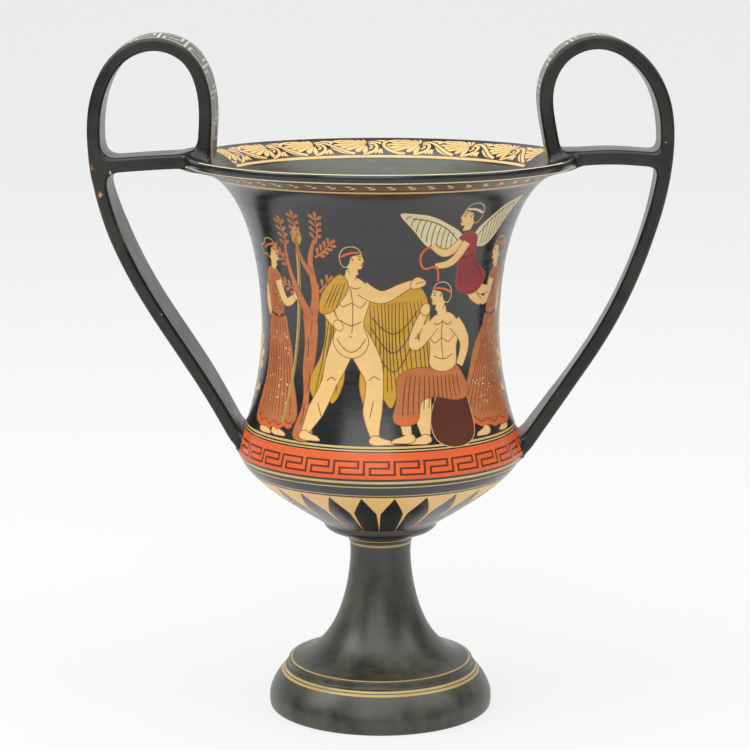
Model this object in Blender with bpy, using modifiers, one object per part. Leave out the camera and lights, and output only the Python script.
"""A two-handled wine cup on a tall foot (kantharos), thrown and fired in one piece.

The body is turned about Z. Each handle is one strap that rises from the belly, loops over the
lip and comes back down to it, with a short strap bridging the loop and the lip.
Lengths are in metres, +Z is up and the middle of the underside is the origin.
"""
import math

import bmesh
import bpy
from mathutils import Vector
from mathutils.geometry import interpolate_bezier

MM = 0.001

# Heights above the table
LIP_TOP = 247.6 * MM
LIP_BOTTOM = 243.1 * MM
WAIST_HEIGHT = 174.0 * MM
BELLY_HEIGHT = 117.8 * MM
COLLAR_TOP = 84.9 * MM
COLLAR_BOTTOM = 80.0 * MM
STEM_TOP = 74.0 * MM
FOOT_STEP_HEIGHT = 21.3 * MM
GROOVE_HEIGHT = 18.2 * MM
FOOT_WIDEST_HEIGHT = 4.2 * MM

# Radii
LIP_RADIUS = 84.5 * MM
WAIST_RADIUS = 52.25 * MM
BELLY_RADIUS = 62.9 * MM
COLLAR_RADIUS = 25.2 * MM
STEM_RADIUS = 13.5 * MM
FOOT_STEP_RADIUS = 41.2 * MM
FOOT_RADIUS = 49.9 * MM

# Clay thicknesses
WALL = 4.2 * MM
FLOOR = 9.0 * MM
FOOT_RING_WIDTH = 7.0 * MM
FOOT_HOLLOW_HEIGHT = 30.0 * MM

# Handle straps
STRAP_THICKNESS = 6.8 * MM
STRAP_DEPTH = 25.0 * MM
BRIDGE_DEPTH = 23.6 * MM
STRAP_EDGE_RADIUS = 1.6 * MM

# Middle lines of the straps: reach from the axis and height in mm
LEFT_LOOP = [(55.5, 116.2), (76.7, 149.1), (99.2, 184.4), (116.0, 219.0), (123.2, 250.0),
             (120.6, 276.5), (111.0, 291.2), (96.4, 296.3), (82.8, 291.0), (75.2, 275.0),
             (74.8, 258.0), (76.3, 243.0)]
RIGHT_LOOP = [(54.5, 112.5), (61.5, 117.8), (75.5, 137.7), (98.4, 172.8), (115.4, 212.0),
              (123.4, 250.0), (119.9, 275.0), (109.0, 290.0), (92.9, 296.3), (78.5, 291.0),
              (71.2, 276.0), (72.2, 262.0), (76.3, 243.0)]
LEFT_BRIDGE = [(123.0, 243.2), (100.0, 244.9), (77.0, 246.6)]
RIGHT_BRIDGE = [(123.0, 246.0), (100.0, 247.4), (77.0, 246.6)]

# Flats round the turned body
AROUND = 44


def clear_scene():
    for thing in list(bpy.data.objects):
        bpy.data.objects.remove(thing, do_unlink=True)


def collection(name):
    group = bpy.data.collections.new(name)
    bpy.context.scene.collection.children.link(group)
    return group


def material(name, colour, roughness):
    surface = bpy.data.materials.new(name)
    surface.use_nodes = True
    shader = surface.node_tree.nodes["Principled BSDF"]
    shader.inputs["Base Color"].default_value = (*colour, 1.0)
    shader.inputs["Roughness"].default_value = roughness
    shader.inputs["Metallic"].default_value = 0.0
    return surface


def span(start, start_pull, end_pull, end, count):
    """Points of a cubic curve in the turning plane, the last one left to the next span."""
    corners = [Vector((r, 0.0, z)) for r, z in (start, start_pull, end_pull, end)]
    points = interpolate_bezier(*corners, count + 1)
    return [(p.x, p.z) for p in points[:-1]]


def cavity_wall():
    """The inside of the bowl, from the middle of its floor up to the lip."""
    floor = COLLAR_TOP + FLOOR
    belly = (BELLY_RADIUS - WALL, BELLY_HEIGHT + 0.7 * MM)
    waist = (WAIST_RADIUS - WALL, WAIST_HEIGHT)
    lip = (LIP_RADIUS - 3.1 * MM, LIP_TOP - 1.0 * MM)
    bowl = span((0.0, floor), (30.0 * MM, floor), (59.8 * MM, 104.5 * MM), belly, 5)
    side = span(belly, (57.6 * MM, 124.0 * MM), (waist[0], 143.0 * MM), waist, 4)
    throat = span(waist, (waist[0], 187.5 * MM), (50.1 * MM, 240.2 * MM), lip, 7)
    return bowl + side + throat + [lip]


def lip_roll():
    """The rolled edge of the lip, from its crown round to its underside."""
    return [(LIP_RADIUS - 1.2 * MM, LIP_TOP), (LIP_RADIUS - 0.3 * MM, LIP_TOP - 0.9 * MM),
            (LIP_RADIUS, LIP_TOP - 2.1 * MM), (LIP_RADIUS - 0.4 * MM, LIP_BOTTOM + 0.7 * MM)]


def outer_wall(inset=0.0):
    """The outside of the bowl, from under the lip down to the collar."""
    lip = (LIP_RADIUS - 1.3 * MM, LIP_BOTTOM)
    waist = (WAIST_RADIUS - inset, WAIST_HEIGHT)
    belly = (BELLY_RADIUS - inset, BELLY_HEIGHT)
    collar = (COLLAR_RADIUS + 0.3 * MM - inset, COLLAR_TOP)
    throat = span(lip, (54.0 * MM, 239.6 * MM), (waist[0], 185.0 * MM), waist, 8)
    side = span(waist, (waist[0], 143.0 * MM), (belly[0], 121.5 * MM), belly, 6)
    bowl = span(belly, (belly[0], 106.2 * MM), (29.0 * MM - inset, 87.4 * MM), collar, 7)
    return throat + side + bowl


def stem_and_foot():
    """The collar under the bowl, the stem, the domed foot and its rounded edge."""
    collar_edge = (COLLAR_RADIUS - 3.2 * MM, COLLAR_BOTTOM)
    neck = (STEM_RADIUS, STEM_TOP)
    dome_edge = (FOOT_STEP_RADIUS - 0.4 * MM, FOOT_STEP_HEIGHT)
    groove = (FOOT_STEP_RADIUS + 1.0 * MM, GROOVE_HEIGHT)
    widest = (FOOT_RADIUS, FOOT_WIDEST_HEIGHT)
    collar = [(COLLAR_RADIUS, COLLAR_TOP - 0.6 * MM),
              (COLLAR_RADIUS - 0.3 * MM, COLLAR_BOTTOM + 3.0 * MM),
              (COLLAR_RADIUS - 1.4 * MM, COLLAR_BOTTOM + 1.4 * MM)]
    collar += span(collar_edge, (17.5 * MM, 78.2 * MM), (13.7 * MM, 77.0 * MM), neck, 3)
    stem = span(neck, (13.2 * MM, 66.0 * MM), (13.5 * MM, 26.4 * MM), dome_edge, 9)
    step = [dome_edge, (FOOT_STEP_RADIUS, FOOT_STEP_HEIGHT - 0.8 * MM),
            (FOOT_STEP_RADIUS + 0.2 * MM, GROOVE_HEIGHT + 1.0 * MM)]
    roll = span(groove, (44.5 * MM, 17.2 * MM), (FOOT_RADIUS, 10.4 * MM), widest, 4)
    return collar + stem + step + roll + [widest, (FOOT_RADIUS - 0.2 * MM, 1.2 * MM)]


def underside():
    """The flat ring the cup stands on and the hollow inside it, in to the middle."""
    outer = FOOT_RADIUS - 0.5 * MM
    inner = outer - FOOT_RING_WIDTH
    top = (0.0, FOOT_HOLLOW_HEIGHT)
    hollow = span((inner, 0.0), (inner - 2.0 * MM, 12.0 * MM), (14.0 * MM, FOOT_HOLLOW_HEIGHT), top, 4)
    return [(outer, 0.0)] + hollow + [top]


def turned(name, profile, group):
    """The solid that a profile of (radius, height) points makes round Z."""
    mesh = bpy.data.meshes.new(name)
    edges = [(i, i + 1) for i in range(len(profile) - 1)]
    mesh.from_pydata([(r, 0.0, z) for r, z in profile], edges, [])
    solid = bpy.data.objects.new(name, mesh)
    group.objects.link(solid)
    screw = solid.modifiers.new("Turning", 'SCREW')
    screw.axis = 'Z'
    screw.angle = math.tau
    screw.steps = AROUND
    screw.render_steps = AROUND
    screw.use_merge_vertices = True
    screw.merge_threshold = 0.00001
    screw.use_smooth_shade = True
    return solid


def strap_section(depth, group):
    """Closed oblong with bevelled corners, the strap's depth along X and its thickness along Y."""
    half_depth = depth / 2
    half_thickness = STRAP_THICKNESS / 2
    short_depth = half_depth - STRAP_EDGE_RADIUS
    short_thickness = half_thickness - STRAP_EDGE_RADIUS
    quarter = [(half_depth, short_thickness), (short_depth, half_thickness)]
    half = quarter + [(-x, y) for x, y in reversed(quarter)]
    points = half + [(-x, -y) for x, y in half]
    outline = bpy.data.curves.new("Strap section", 'CURVE')
    outline.dimensions = '2D'
    line = outline.splines.new('POLY')
    line.points.add(len(points) - 1)
    for knot, (x, y) in zip(line.points, points):
        knot.co = (x, y, 0.0, 1.0)
    line.use_cyclic_u = True
    section = bpy.data.objects.new("Strap section", outline)
    group.objects.link(section)
    return section


def strap(name, route, side, depth, steps, group):
    """A strap drawn along a smooth route of (reach, height) knots in the XZ plane."""
    section = strap_section(depth, group)
    curve = bpy.data.curves.new(f"{name} route", 'CURVE')
    curve.dimensions = '3D'
    curve.twist_mode = 'MINIMUM'
    curve.resolution_u = steps
    curve.bevel_mode = 'OBJECT'
    curve.bevel_object = section
    curve.use_fill_caps = True
    line = curve.splines.new('BEZIER')
    line.bezier_points.add(len(route) - 1)
    for knot, (reach, height) in zip(line.bezier_points, route):
        knot.co = (side * reach * MM, 0.0, height * MM)
        knot.handle_left_type = 'AUTO'
        knot.handle_right_type = 'AUTO'
    path = bpy.data.objects.new(f"{name} route", curve)
    group.objects.link(path)
    bpy.context.view_layer.update()
    evaluated = path.evaluated_get(bpy.context.evaluated_depsgraph_get())
    mesh = bpy.data.meshes.new_from_object(evaluated)
    weld = bmesh.new()
    weld.from_mesh(mesh)
    bmesh.ops.remove_doubles(weld, verts=weld.verts, dist=0.00001)
    bmesh.ops.recalc_face_normals(weld, faces=weld.faces)
    weld.to_mesh(mesh)
    weld.free()
    solid = bpy.data.objects.new(name, mesh)
    solid.matrix_world = path.matrix_world
    group.objects.link(solid)
    bpy.data.objects.remove(path, do_unlink=True)
    bpy.data.objects.remove(section, do_unlink=True)
    return solid


def boolean(target, other, operation):
    cut = target.modifiers.new(f"{operation.title()} {other.name}", 'BOOLEAN')
    cut.operation = operation
    cut.solver = 'EXACT'
    cut.object = other


def handle(name, route, bridge, side, trim, group):
    """One handle: the looped strap, cut off inside the bowl's wall, and its bridge to the lip."""
    loop = strap(f"{name} loop", route, side, STRAP_DEPTH, 5, group)
    boolean(loop, trim, 'DIFFERENCE')
    return [loop, strap(f"{name} bridge", bridge, side, BRIDGE_DEPTH, 3, group)]


def main():
    clear_scene()
    piece = collection("Kantharos")
    guides = collection("Cutters")

    shell = cavity_wall() + lip_roll() + outer_wall() + stem_and_foot() + underside()
    cup = turned("kantharos", shell, piece)
    cup.data.materials.append(material("black gloss clay", (0.028, 0.028, 0.026), 0.32))

    lower_bowl = [point for point in outer_wall(WALL / 2) if point[1] < WAIST_HEIGHT]
    trim = turned("Wall core", [(0.0, WAIST_HEIGHT)] + lower_bowl + [(0.0, COLLAR_TOP)], guides)
    parts = handle("left", LEFT_LOOP, LEFT_BRIDGE, -1, trim, guides)
    parts += handle("right", RIGHT_LOOP, RIGHT_BRIDGE, 1, trim, guides)
    for part in parts:
        boolean(cup, part, 'UNION')
    for guide in guides.objects:
        guide.hide_render = True
        guide.display_type = 'WIRE'


main()
